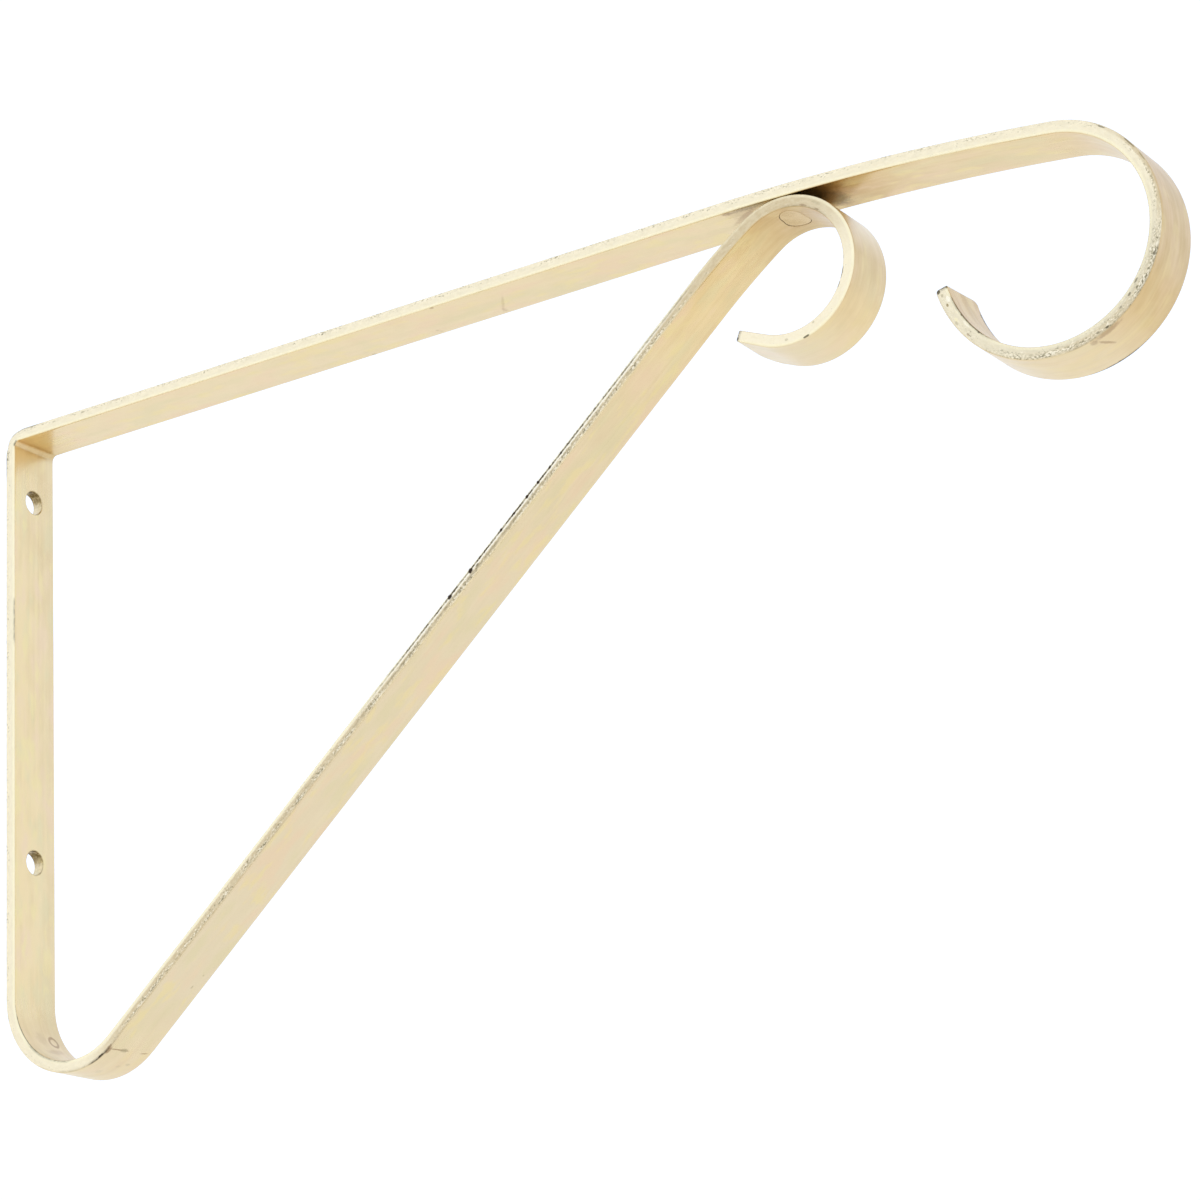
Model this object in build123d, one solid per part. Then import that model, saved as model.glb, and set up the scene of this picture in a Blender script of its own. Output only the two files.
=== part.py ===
from build123d import *
import math
import os

# Flat-bar hanging-plant bracket: one strap bent into a hook, a level arm, a
# square corner, a wall leg with two screw holes, a U-bend, a diagonal brace and
# a small scroll, which is riveted flush to the underside of the arm.
#
# Frame, millimetres: the wall is the plane X = 0 and the bracket stands out from
# it along +X. Z is up. Y is across the strap, whose middle plane is Y = 0. The
# origin is on the back of the wall leg, midway between the two screw holes.

# ---- driving dimensions -------------------------------------------------
strap_w = 15.875          # strap width, 5/8 in
strap_t = 3.175           # strap thickness, 1/8 in
arris_r = 0.40            # worn radius of the strap's long edges

hole_d = 6.5              # screw holes, clearance for a 1/4 in or M6 screw
hole_pitch = 101.6        # between the screw holes, 4 in

leg_above = 65.2          # straight leg from the origin up to the corner bend
leg_below = 88.4          # straight leg from the origin down to the U-bend
corner_ri = 1.4           # inside radius of the top corner
arm_flat = 222.2          # straight part of the arm
ease_len = 91.4           # end of the arm, bowed slightly down into the hook
ease_turn = 7.7           # degrees turned over that bow
hook_ri = 25.4            # inside radius of the hook, 1 in
hook_turn = 220.1         # degrees of hook at that radius
tip_ri = 29.4             # the last of the hook opens out a little
tip_turn = 31.3           # degrees of it
tip_skew = 1.25           # the tip is cut off square by this much less at -Y
tip_corner_r = 2.0        # plan radius of the tip's corner at +Y
near_corner_r = 1.0       # and of both ends' corners at -Y

ubend_ri = 19.05          # inside radius of the bottom U-bend, 3/4 in
ubend_turn = 129.73       # degrees, so the brace rises at 39.73 degrees
lead_len = 21.2           # top of the brace, easing into the scroll
lead_turn = 6.05          # degrees turned over it
scroll_ri = 15.875        # inside radius of the scroll, 5/8 in
scroll_turn = 236.5       # degrees of scroll
scroll_end = 7.9          # straight end of the scroll
scroll_corner_r = 6.0     # plan radius of its corner at +Y
joint_gap = 0.05          # the scroll's back to the underside of the arm

rivet_d = 4.76            # rivet shank, 3/16 in
head_d = 8.7              # factory head, on top of the arm
head_h = 1.0
pad_across = 10.8         # flush set end inside the scroll: across the strap
pad_along = 7.0           # and along it
pad_depth = 0.8

os.makedirs("parts", exist_ok=True)


# ---- centre line of the strap, in X and Z -------------------------------
def walk(x, z, heading, pieces):
    """Follow (length, turn) pieces from a point; degrees, left turns positive."""
    out = []
    for length, turn in pieces:
        h0 = math.radians(heading)
        if abs(turn) < 1e-9:
            x1, z1 = x + length * math.cos(h0), z + length * math.sin(h0)
            out.append(((x, z), heading, (x1, z1), heading))
            x, z = x1, z1
        else:
            r = length / math.radians(turn)
            h1 = math.radians(heading + turn)
            x1 = x + r * (math.sin(h1) - math.sin(h0))
            z1 = z - r * (math.cos(h1) - math.cos(h0))
            out.append(((x, z), heading, (x1, z1), heading + turn))
            x, z, heading = x1, z1, heading + turn
    return out


def arc_len(radius, turn):
    return radius * math.radians(abs(turn))


half_t = strap_t / 2
upper = walk(half_t, 0, 90, [
    (leg_above, 0),
    (arc_len(corner_ri + half_t, 90), -90),
    (arm_flat, 0),
    (ease_len, -ease_turn),
    (arc_len(hook_ri + half_t, hook_turn), -hook_turn),
    (arc_len(tip_ri + half_t, tip_turn), -tip_turn),
])


def lower_pieces(brace_len):
    return [
        (leg_below, 0),
        (arc_len(ubend_ri + half_t, ubend_turn), ubend_turn),
        (brace_len, 0),
        (lead_len, -lead_turn),
        (arc_len(scroll_ri + half_t, scroll_turn), -scroll_turn),
        (scroll_end, 0),
    ]


def centre_of(piece, radius):
    """Centre of a right-hand bend of this centre-line radius."""
    (x, z), h, _, _ = piece
    a = math.radians(h)
    return x + radius * math.sin(a), z - radius * math.cos(a)


# The back of the scroll bears on the underside of the arm where the arm has just
# begun to bow. The brace is as long as it takes to close that joint.
bow_r = ease_len / math.radians(ease_turn)
bow_cx, bow_cz = centre_of(upper[3], bow_r)
centres_apart = (bow_r - half_t) - (scroll_ri + strap_t) - joint_gap
shortest, longest = 200.0, 260.0
for _ in range(60):
    brace_len = (shortest + longest) / 2
    lower = walk(half_t, 0, -90, lower_pieces(brace_len))
    scroll_cx, scroll_cz = centre_of(lower[4], scroll_ri + half_t)
    if math.hypot(scroll_cx - bow_cx, scroll_cz - bow_cz) < centres_apart:
        shortest = brace_len
    else:
        longest = brace_len
joint_tilt = math.degrees(math.atan2(scroll_cx - bow_cx, scroll_cz - bow_cz))


# ---- strap ---------------------------------------------------------------
def side(chain, d):
    """Edges at distance d to the left of a chain, in the XZ plane."""
    edges = []
    for (p0, h0, p1, h1) in chain:
        a0, a1 = math.radians(h0), math.radians(h1)
        q0 = (p0[0] - d * math.sin(a0), 0, p0[1] + d * math.cos(a0))
        q1 = (p1[0] - d * math.sin(a1), 0, p1[1] + d * math.cos(a1))
        if abs(h1 - h0) < 1e-9:
            edges.append(Edge.make_line(q0, q1))
        else:
            t = (h1 - h0) / abs(h1 - h0)
            hm = math.radians((h0 + h1) / 2)
            r = (math.hypot(p1[0] - p0[0], p1[1] - p0[1]) / 2
                 / math.sin(math.radians(abs(h1 - h0)) / 2))
            cx = p0[0] - t * r * math.sin(a0)
            cz = p0[1] + t * r * math.cos(a0)
            rr = r - t * d
            qm = (cx + t * rr * math.sin(hm), 0, cz - t * rr * math.cos(hm))
            edges.append(Edge.make_three_point_arc(q0, qm, q1))
    return edges


up_out, up_in = side(upper, half_t), side(upper, -half_t)
low_out, low_in = side(lower, -half_t), side(lower, half_t)
closing = [
    Edge.make_line(up_out[-1] @ 1, up_in[-1] @ 1),
    Edge.make_line(low_out[-1] @ 1, low_in[-1] @ 1),
]
outline = Wire(up_out + up_in + low_out + low_in + closing)
section = Face(outline)
strap = extrude(section, amount=strap_w / 2, dir=(0, 1, 0), both=True)


# The two cropped ends: the tip is cut a little out of square, and the corners of
# both are rounded in plan.
def end_plane(chain):
    (x, z), heading = chain[-1][2], math.radians(chain[-1][3])
    return Plane(origin=(x, 0, z), x_dir=(math.cos(heading), 0, math.sin(heading)),
                 z_dir=(-math.sin(heading), 0, math.cos(heading)))


wedge = extrude(Plane.XY * Polygon(
    (-tip_skew, -strap_w / 2), (0.02, strap_w / 2), (4, strap_w / 2 + 2),
    (4, -strap_w / 2 - 2), (-tip_skew, -strap_w / 2 - 2), align=None),
    amount=2 * strap_t, both=True)
strap -= end_plane(upper) * wedge


def end_corner(chain, y, radius):
    at = end_plane(chain).origin + Vector(0, y * strap_w / 2, 0)
    near = [e for e in strap.edges()
            if abs(e.length - strap_t) < 0.2 and (e @ 0.5 - at).length < 2.2]
    return fillet(near, radius)


strap = end_corner(upper, 1, tip_corner_r)
strap = end_corner(upper, -1, near_corner_r)
strap = end_corner(lower, 1, scroll_corner_r)
strap = end_corner(lower, -1, near_corner_r)

long_edges = [
    e for e in strap.edges()
    if abs(abs((e @ 0.5).Y) - strap_w / 2) < 1e-4
    and e.length > 3.5
]
strap = fillet(long_edges, arris_r)

for z in (hole_pitch / 2, -hole_pitch / 2):
    strap -= Location((half_t, 0, z), (0, 90, 0)) * Cylinder(hole_d / 2, strap_t * 3)

# ---- rivet ---------------------------------------------------------------
# Built about the scroll's centre with its axis up, then tilted to stand square
# to the two faces that meet.
def at_joint(shape):
    return Pos(scroll_cx, 0, scroll_cz) * Rot(0, joint_tilt, 0) * shape


joint_top = scroll_ri + strap_t + joint_gap + strap_t
pad_top = scroll_ri + pad_depth
shank_foot = scroll_ri + pad_depth / 3
shank = Pos(0, 0, (joint_top + shank_foot) / 2) * Cylinder(
    rivet_d / 2, joint_top - shank_foot)
dome_r = ((head_d / 2) ** 2 + head_h ** 2) / (2 * head_h)
head = (Pos(0, 0, joint_top + head_h - dome_r) * Sphere(dome_r)) & (
    Pos(0, 0, joint_top + head_h) * Box(head_d * 2, head_d * 2, head_h * 2))
# The set end fills an oval recess and follows the scroll's inside face.
oval = Pos(0, 0, scroll_ri - 2) * extrude(
    Ellipse(pad_along / 2, pad_across / 2), amount=4)
shell = Rot(90, 0, 0) * (Cylinder(pad_top, strap_w) - Cylinder(scroll_ri, strap_w))
pad = oval & shell
rivet = at_joint(shank + head + pad)

drill = at_joint(Pos(0, 0, joint_top) * Cylinder(rivet_d / 2, 6 * strap_t))
strap = strap - drill - at_joint(pad)

for node, shape in {"strap": strap, "rivet": rivet}.items():
    solids = shape.solids()
    body = solids[0] if len(solids) == 1 else Compound(children=list(solids))
    body.label = node
    export_step(body, f"parts/{node}.step")
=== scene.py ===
import bpy
import bmesh
import math
import numpy as np
from mathutils import Matrix, Vector, noise


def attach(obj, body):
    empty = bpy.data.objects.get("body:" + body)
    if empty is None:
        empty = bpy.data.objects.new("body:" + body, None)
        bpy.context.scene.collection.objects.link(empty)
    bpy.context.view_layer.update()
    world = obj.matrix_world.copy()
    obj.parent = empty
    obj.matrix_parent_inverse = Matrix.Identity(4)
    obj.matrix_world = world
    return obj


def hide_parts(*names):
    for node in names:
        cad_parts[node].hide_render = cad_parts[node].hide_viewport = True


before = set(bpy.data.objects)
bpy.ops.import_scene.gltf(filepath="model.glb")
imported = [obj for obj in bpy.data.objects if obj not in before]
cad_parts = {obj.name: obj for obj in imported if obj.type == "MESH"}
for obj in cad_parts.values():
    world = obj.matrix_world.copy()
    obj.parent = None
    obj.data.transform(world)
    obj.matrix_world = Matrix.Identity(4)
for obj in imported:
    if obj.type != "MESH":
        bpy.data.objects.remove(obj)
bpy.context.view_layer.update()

MM = 0.001

# --------------------------------------------------------------------------
# The strap's driving sizes, in millimetres, the same as the CAD source's.
# --------------------------------------------------------------------------
W, T = 15.875, 3.175
HT = T / 2
ARRIS = 0.40
HOLE_R = 3.25
HOLE_Z = 50.8
SCROLL_RI, HOOK_RI, UBEND_RI, CORNER_RI = 15.875, 25.4, 19.05, 1.4
JOINT_GAP = 0.05
RIVET_R, HEAD_R, HEAD_H, PAD_DEPTH = 2.38, 4.35, 1.0, 0.8


def arc_len(radius, turn):
    return radius * math.radians(abs(turn))


def walk(x, z, heading, pieces):
    out = []
    for length, turn in pieces:
        out.append((x, z, heading, length, turn))
        h0 = math.radians(heading)
        if abs(turn) < 1e-9:
            x, z = x + length * math.cos(h0), z + length * math.sin(h0)
        else:
            r = length / math.radians(turn)
            h1 = math.radians(heading + turn)
            x += r * (math.sin(h1) - math.sin(h0))
            z -= r * (math.cos(h1) - math.cos(h0))
            heading += turn
    return out


UP_PIECES = [(65.2, 0), (arc_len(CORNER_RI + HT, 90), -90), (222.2, 0), (91.4, -7.7),
             (arc_len(HOOK_RI + HT, 220.1), -220.1), (arc_len(29.4 + HT, 31.3), -31.3)]


def low_pieces(brace):
    return [(88.4, 0), (arc_len(UBEND_RI + HT, 129.73), 129.73), (brace, 0), (21.2, -6.05),
            (arc_len(SCROLL_RI + HT, 236.5), -236.5), (7.9, 0)]


def bend_centre(piece, radius):
    x, z, h, _, _ = piece
    a = math.radians(h)
    return x + radius * math.sin(a), z - radius * math.cos(a)


UP = walk(HT, 0, 90, UP_PIECES)
BOW_R = 91.4 / math.radians(7.7)
BOW_C = bend_centre(UP[3], BOW_R)
lo_b, hi_b = 200.0, 260.0
for _ in range(60):
    BRACE = (lo_b + hi_b) / 2
    LOW = walk(HT, 0, -90, low_pieces(BRACE))
    SC = bend_centre(LOW[4], SCROLL_RI + HT)
    if math.hypot(SC[0] - BOW_C[0], SC[1] - BOW_C[1]) < (BOW_R - HT) - (SCROLL_RI + T) - JOINT_GAP:
        lo_b = BRACE
    else:
        hi_b = BRACE
TILT = math.atan2(SC[0] - BOW_C[0], SC[1] - BOW_C[1])
L_UP = sum(p[3] for p in UP)
L_LOW = sum(p[3] for p in LOW)
L_ALL = L_UP + L_LOW

# One run from the hook's tip (S = 0) to the end of the scroll (S = L_ALL). Side B
# is the side the leg shows to the room, side A the side it shows to the wall.
RUN = []                       # (S0, x, z, heading, length, turn)
s_acc = 0.0
for (x, z, h, L, t) in reversed(UP):
    if abs(t) < 1e-9:
        x1, z1 = x + L * math.cos(math.radians(h)), z + L * math.sin(math.radians(h))
        h1 = h
    else:
        r = L / math.radians(t)
        h1 = h + t
        x1 = x + r * (math.sin(math.radians(h1)) - math.sin(math.radians(h)))
        z1 = z - r * (math.cos(math.radians(h1)) - math.cos(math.radians(h)))
    RUN.append((s_acc, x1, z1, h1 + 180, L, -t))
    s_acc += L
h_fix = RUN[-1][3] - (-90)     # the upper run arrives at the origin heading down
for (x, z, h, L, t) in LOW:
    RUN.append((s_acc, x, z, h + h_fix, L, t))
    s_acc += L
STARTS = np.array([p[0] for p in RUN])
NAMES = ["tip", "hook", "bow", "arm", "corner", "leg_up", "leg_down", "ubend", "brace", "lead", "scroll", "end"]
START = dict(zip(NAMES, STARTS))
LENGTH = dict(zip(NAMES, [p[4] for p in RUN]))


def frames(S):
    """Centre-line point and side-B normal at each S, and the curvature (left turns positive)."""
    S = np.asarray(S, float)
    k = np.clip(np.searchsorted(STARTS, S, side="right") - 1, 0, len(RUN) - 1)
    P = np.array([[p[1], p[2], math.radians(p[3]), p[4], math.radians(p[5])] for p in RUN])[k]
    u = S - STARTS[k]
    x0, z0, h0, L, t = P.T
    kap = t / L
    h = h0 + kap * u
    with np.errstate(divide="ignore", invalid="ignore"):
        rr = np.where(np.abs(kap) > 1e-9, 1 / np.where(np.abs(kap) > 1e-9, kap, 1), 0)
    x = np.where(np.abs(kap) > 1e-9, x0 + rr * (np.sin(h) - np.sin(h0)), x0 + u * np.cos(h0))
    z = np.where(np.abs(kap) > 1e-9, z0 - rr * (np.cos(h) - np.cos(h0)), z0 + u * np.sin(h0))
    return x, z, -np.sin(h), np.cos(h), kap


def place(S, Y, D):
    """Strap coordinates to the row frame, in metres."""
    x, z, nx, nz, _ = frames(S)
    return np.stack([(x + nx * D) * MM, np.asarray(Y) * MM, (z + nz * D) * MM], -1)


def noise3(S, Y, D, scale_s, scale_y, seed):
    """Smooth noise in strap coordinates, about -1 to 1."""
    out = np.empty(len(S))
    for i in range(len(S)):
        out[i] = noise.noise(Vector((S[i] * scale_s + seed, Y[i] * scale_y - seed * 0.7, D[i] * scale_y + seed * 1.3)))
    return out


def bump01(x, lo, hi, soft):
    """1 between lo and hi, falling off smoothly over soft."""
    x = np.asarray(x, float)
    a = np.clip((x - lo + soft) / soft, 0, 1)
    b = np.clip((hi + soft - x) / soft, 0, 1)
    a, b = a * a * (3 - 2 * a), b * b * (3 - 2 * b)
    return a * b


# --------------------------------------------------------------------------
# Where the through features are, along the run
# --------------------------------------------------------------------------
S_ORIGIN = L_UP
S_HOLE_TOP, S_HOLE_LOW = S_ORIGIN - HOLE_Z, S_ORIGIN + HOLE_Z
# the arm's bow turns about BOW_C: the rivet's axis crosses it where the radius leans by TILT
S_RIVET_ARM = START["bow"] + LENGTH["bow"] - BOW_R * TILT
# the scroll's heading falls from 33.68 to -TILT there
S_RIVET_SCROLL = START["scroll"] + (SCROLL_RI + HT) * (math.radians(39.73 - 6.05) + TILT)

# outline of the rivet's flush end, seen from inside the scroll: along the strap, across it
PAD_PTS = [(-1.95, -5.13), (-2.64, -4.07), (-3.27, -2.09), (-3.39, -0.40), (-3.12, 1.51), (-2.26, 2.86),
           (-1.17, 3.80), (0.27, 4.10), (1.79, 2.89), (2.81, 0.74), (2.90, -1.39), (2.66, -3.16),
           (2.09, -4.55), (1.34, -5.60), (0.27, -6.20), (-1.00, -6.00)]


def pad_radius():
    """Distance of the outline from its middle, as a smooth periodic function of angle."""
    pts = np.array(PAD_PTS)
    c = np.array([-0.25, -1.20])
    a = np.arctan2(pts[:, 1] - c[1], pts[:, 0] - c[0])
    r = np.hypot(pts[:, 0] - c[0], pts[:, 1] - c[1])
    k = np.arange(0, 4)
    A = np.concatenate([np.cos(np.outer(a, k)), np.sin(np.outer(a, k[1:]))], 1)
    co, *_ = np.linalg.lstsq(A, r, rcond=None)
    return c, lambda th: np.concatenate([np.cos(np.outer(th, k)), np.sin(np.outer(th, k[1:]))], 1) @ co


PAD_C, PAD_R = pad_radius()

# --------------------------------------------------------------------------
# Strap mesh, laid out in strap coordinates (S along, Y across, D through)
# --------------------------------------------------------------------------
NF, NC, NS = 28, 4, 6
YB, DB = W / 2 - ARRIS, HT - ARRIS
ring = []                      # (y, d, edge) round the section
for k in range(NF + 1):
    ring.append((-YB + 2 * YB * k / NF, HT, 0.0))
for k in range(1, NC + 1):
    a = math.pi / 2 * (1 - k / NC)
    ring.append((YB + ARRIS * math.cos(a), DB + ARRIS * math.sin(a), k / NC))
for k in range(1, NS + 1):
    ring.append((W / 2, DB - 2 * DB * k / NS, 1.0))
for k in range(1, NC + 1):
    a = -math.pi / 2 * k / NC
    ring.append((YB + ARRIS * math.cos(a), -DB + ARRIS * math.sin(a), 1 - k / NC))
for k in range(1, NF + 1):
    ring.append((YB - 2 * YB * k / NF, -HT, 0.0))
for k in range(1, NC + 1):
    a = -math.pi / 2 - math.pi / 2 * k / NC
    ring.append((-YB + ARRIS * math.cos(a), -DB + ARRIS * math.sin(a), k / NC))
for k in range(1, NS + 1):
    ring.append((-W / 2, -DB + 2 * DB * k / NS, 1.0))
for k in range(1, NC):
    a = math.pi - math.pi / 2 * k / NC
    ring.append((-YB + ARRIS * math.cos(a), DB + ARRIS * math.sin(a), 1 - k / NC))
RING = np.array(ring)
M = len(RING)
J_A0 = NF + 2 * NC + NS        # first point of the side-A face, at +Y

# stations along the run
BLOCKS = [("rivet_arm", S_RIVET_ARM), ("hole_top", S_HOLE_TOP), ("hole_low", S_HOLE_LOW), ("rivet_scroll", S_RIVET_SCROLL)]
BLOCK_HALF, BLOCK_ROWS = 8.0, 18
fixed = []
for _, s in BLOCKS:
    fixed += list(np.linspace(s - BLOCK_HALF, s + BLOCK_HALF, BLOCK_ROWS + 1))
CAP = 0.28
edges_s = [0.0, CAP * 0.3, CAP, L_ALL - CAP, L_ALL - CAP * 0.3, L_ALL]
spans = [(START["corner"] - 1.0, START["corner"] + LENGTH["corner"] + 1.0, 0.26),
         (START["ubend"] - 6, START["ubend"] + LENGTH["ubend"] + 12, 0.72),
         (START["scroll"] - 2, L_ALL, 0.75),
         (0, START["bow"], 0.95)]


def step_at(s):
    for a, b, st in spans:
        if a <= s <= b:
            return st
    return 1.1


anchors = sorted(set([0.0, L_ALL] + edges_s + fixed + [s for a, b, _ in spans for s in (max(a, 0), min(b, L_ALL))]))
anchors = [a for i, a in enumerate(anchors) if i == 0 or a - anchors[i - 1] > 1e-6]
# a span's ends never cut a block's rows
blocked = [(s - BLOCK_HALF, s + BLOCK_HALF) for _, s in BLOCKS]
anchors = [a for a in anchors if not any(lo + 1e-6 < a < hi - 1e-6 for lo, hi in blocked) or any(abs(a - f) < 1e-6 for f in fixed)]
stations = []
for a, b in zip(anchors[:-1], anchors[1:]):
    n = max(1, int(round((b - a) / step_at((a + b) / 2)))) if not any(lo - 1e-6 <= a and b <= hi + 1e-6 for lo, hi in blocked) else 1
    stations += [a + (b - a) * k / n for k in range(n)]
stations.append(L_ALL)
ST = np.array(stations)
N = len(ST)

vs, vy, vd, ve, vw = [], [], [], [], []   # strap coordinates, edge mask, hole-wall mask


def add(s, y, d, e=0.0, w=0.0):
    vs.append(s); vy.append(y); vd.append(d); ve.append(e); vw.append(w)
    return len(vs) - 1


def cap_shrink(s):
    """How far the section is drawn in at the sheared ends, which are broken over slightly."""
    q = min(s, L_ALL - s)
    return 0.0 if q >= CAP else CAP * (1 - math.sqrt(max(0.0, 1 - (1 - q / CAP) ** 2)))


for s in ST:
    c = cap_shrink(s)
    for (y, d, e) in RING:
        yy = y - math.copysign(min(c, abs(y)), y) if abs(y) > YB - 1e-9 else y * (1 - c / (W / 2))
        dd = d - math.copysign(min(c, abs(d)), d) if abs(d) > DB - 1e-9 else d * (1 - c / HT)
        add(s, yy, dd, max(e, 1.0 if c > 0.02 else 0.0))


def vid(i, j):
    return i * M + (j % M)


quads = []
removed = set()                # (i, j) of the quads that a through feature takes out
C0, C1 = 2, NF - 2             # the block's columns on a broad face
info = {}
for name, s in BLOCKS:
    i0 = int(np.argmin(np.abs(ST - (s - BLOCK_HALF))))
    i1 = int(np.argmin(np.abs(ST - (s + BLOCK_HALF))))
    assert i1 - i0 == BLOCK_ROWS, (name, i0, i1)
    info[name] = (i0, i1)
    for i in range(i0, i1):
        for j in range(C0, C1):
            removed.add((i, j))
            removed.add((i, J_A0 + (NF - 1 - j)))
for i in range(N - 1):
    for j in range(M):
        if (i, j) not in removed:
            quads.append((vid(i, j), vid(i, j + 1), vid(i + 1, j + 1), vid(i + 1, j)))


def perimeter(i0, i1, face):
    """The block's boundary vertices in order, the same order on both faces."""
    col = (lambda j: j) if face == "B" else (lambda j: J_A0 + (NF - j))
    out = []
    for j in range(C0, C1):
        out.append(vid(i0, col(j)))
    for i in range(i0, i1):
        out.append(vid(i, col(C1)))
    for j in range(C1, C0, -1):
        out.append(vid(i1, col(j)))
    for i in range(i1, i0, -1):
        out.append(vid(i, col(C0)))
    return out


def loop_quads(a, b):
    n = len(a)
    for k in range(n):
        quads.append((a[k], a[(k + 1) % n], b[(k + 1) % n], b[k]))


def radial(face, s0, per, shape_s, shape_y, d_at, fractions, e=0.0):
    """Rings from the block's boundary in to an outline; returns the last ring."""
    prev = per
    ps = np.array([vs[v] for v in per]) - s0
    py = np.array([vy[v] for v in per])
    for f in fractions:
        cur = [add(s0 + ps[k] * f + shape_s[k] * (1 - f), py[k] * f + shape_y[k] * (1 - f), d_at, e) for k in range(len(per))]
        loop_quads(prev, cur)
        prev = cur
    return prev


def hole(name, s0, r, rim_b, rim_a, recess=None):
    i0, i1 = info[name]
    perB, perA = perimeter(i0, i1, "B"), perimeter(i0, i1, "A")
    th = np.array([math.atan2(vy[v], vs[v] - s0) for v in perB])
    ct, sn = np.cos(th), np.sin(th)
    fr = [0.72, 0.48, 0.30, 0.17, 0.08, 0.03]

    def rim(prev, sign, rr, e0=0.0):
        """Round the rim over from the face, at radius r + rr, to the wall, at radius r."""
        nonlocal_prev = prev
        for k in range(0, 5):
            a = math.pi / 2 * k / 4
            rad = r + rr * (1 - math.sin(a))
            dd = sign * (HT - rr * (1 - math.cos(a)))
            cur = [add(s0 + ct[q] * rad, sn[q] * rad, dd, 0.0, 0.25 + 0.75 * k / 4) for q in range(len(th))]
            loop_quads(nonlocal_prev, cur)
            nonlocal_prev = cur
        return nonlocal_prev

    b = radial("B", s0, perB, ct * (r + rim_b + 0.02), sn * (r + rim_b + 0.02), HT, fr)
    b = rim(b, 1, rim_b)
    if recess is None:
        a = radial("A", s0, perA, ct * (r + rim_a + 0.02), sn * (r + rim_a + 0.02), -HT, fr)
        a = rim(a, -1, rim_a)
    else:
        os_, oy, gap, lip, depth = recess(th)
        rs, ry = np.array(os_), np.array(oy)
        nrm = np.hypot(rs, ry)
        us, uy = rs / nrm, ry / nrm
        a = radial("A", s0, perA, rs + us * (gap + lip), ry + uy * (gap + lip), -HT, fr)
        for k in range(1, 4):
            t = math.pi / 2 * k / 3
            off = gap + lip * (1 - math.sin(t))
            cur = [add(s0 + rs[q] + us[q] * off, ry[q] + uy[q] * off, -HT + lip * (1 - math.cos(t)), 0.0, 0.6) for q in range(len(th))]
            loop_quads(a, cur)
            a = cur
        for dd in (0.35, 0.7, 1.0):
            cur = [add(s0 + rs[q] + us[q] * gap, ry[q] + uy[q] * gap, -HT + depth * dd, 0.0, 1.0) for q in range(len(th))]
            loop_quads(a, cur)
            a = cur
        for f in (0.6, 0.25, 0.0):
            cur = [add(s0 + (rs[q]) * f + ct[q] * r * (1 - f), ry[q] * f + sn[q] * r * (1 - f), -HT + depth, 0.0, 1.0) for q in range(len(th))]
            loop_quads(a, cur)
            a = cur
    top_d, low_d = vd[b[0]], vd[a[0]]
    prev = b
    for k in range(1, 6):
        cur = [add(s0 + ct[q] * r, sn[q] * r, top_d + (low_d - top_d) * k / 6, 0.0, 1.0) for q in range(len(th))]
        loop_quads(prev, cur)
        prev = cur
    loop_quads(prev, a)


def pad_recess(th):
    """Recess outline about the rivet's axis: the flush end's outline and a hair of clearance."""
    os_, oy = [], []
    for t in th:
        lo, hi = 0.5, 8.0
        for _ in range(40):
            m = (lo + hi) / 2
            p = np.array([math.cos(t) * m, math.sin(t) * m]) - PAD_C
            if np.hypot(*p) < PAD_R(np.array([math.atan2(p[1], p[0])]))[0]:
                lo = m
            else:
                hi = m
        os_.append(math.cos(t) * lo * (SCROLL_RI + HT) / SCROLL_RI)
        oy.append(math.sin(t) * lo)
    return os_, oy, 0.05, 0.06, PAD_DEPTH + 0.03


hole("hole_top", S_HOLE_TOP, HOLE_R, 0.24, 0.12)
hole("hole_low", S_HOLE_LOW, HOLE_R, 0.24, 0.12)
hole("rivet_arm", S_RIVET_ARM, RIVET_R + 0.06, 0.10, 0.10)
hole("rivet_scroll", S_RIVET_SCROLL, RIVET_R + 0.30, 0.10, 0.10, recess=pad_recess)

# sheared ends: a grid across the section
ROWS = 2 * NC + NS
for i_end, s_end in ((0, 0.0), (N - 1, L_ALL)):
    top = [vid(i_end, j) for j in range(NF + 1)]                       # -Y to +Y at +D
    bot = [vid(i_end, J_A0 + NF - j) for j in range(NF + 1)]           # -Y to +Y at -D
    right = [vid(i_end, NF + k) for k in range(ROWS + 1)]              # +D to -D at +Y
    left = [vid(i_end, -k) for k in range(ROWS + 1)]                   # +D to -D at -Y
    grid = [top]
    for r_ in range(1, ROWS):
        f = r_ / ROWS
        row = [left[r_]]
        for j in range(1, NF):
            g = j / NF
            y = (vy[top[j]] * (1 - f) + vy[bot[j]] * f)
            d = vd[left[r_]] * (1 - g) + vd[right[r_]] * g
            row.append(add(s_end, y, d, 1.0))
        row.append(right[r_])
        grid.append(row)
    grid.append(bot)
    for r_ in range(ROWS):
        for j in range(NF):
            quads.append((grid[r_][j], grid[r_][j + 1], grid[r_ + 1][j + 1], grid[r_ + 1][j]))

S, Y, D, E, WALL = (np.array(a, float) for a in (vs, vy, vd, ve, vw))
print("strap:", len(S), "points,", len(quads), "quads,", N, "stations")

# ---- surface relief, always inwards so that the piece stays in its CAD box ----
_, _, _, _, KAP = frames(S)
onB, onA = D > 0, D < 0
side = np.clip((np.abs(Y) - YB) / ARRIS, 0, 1)           # 0 on the broad faces, 1 on the edges
wall_free = 1 - np.clip(WALL * 4, 0, 1)

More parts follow.
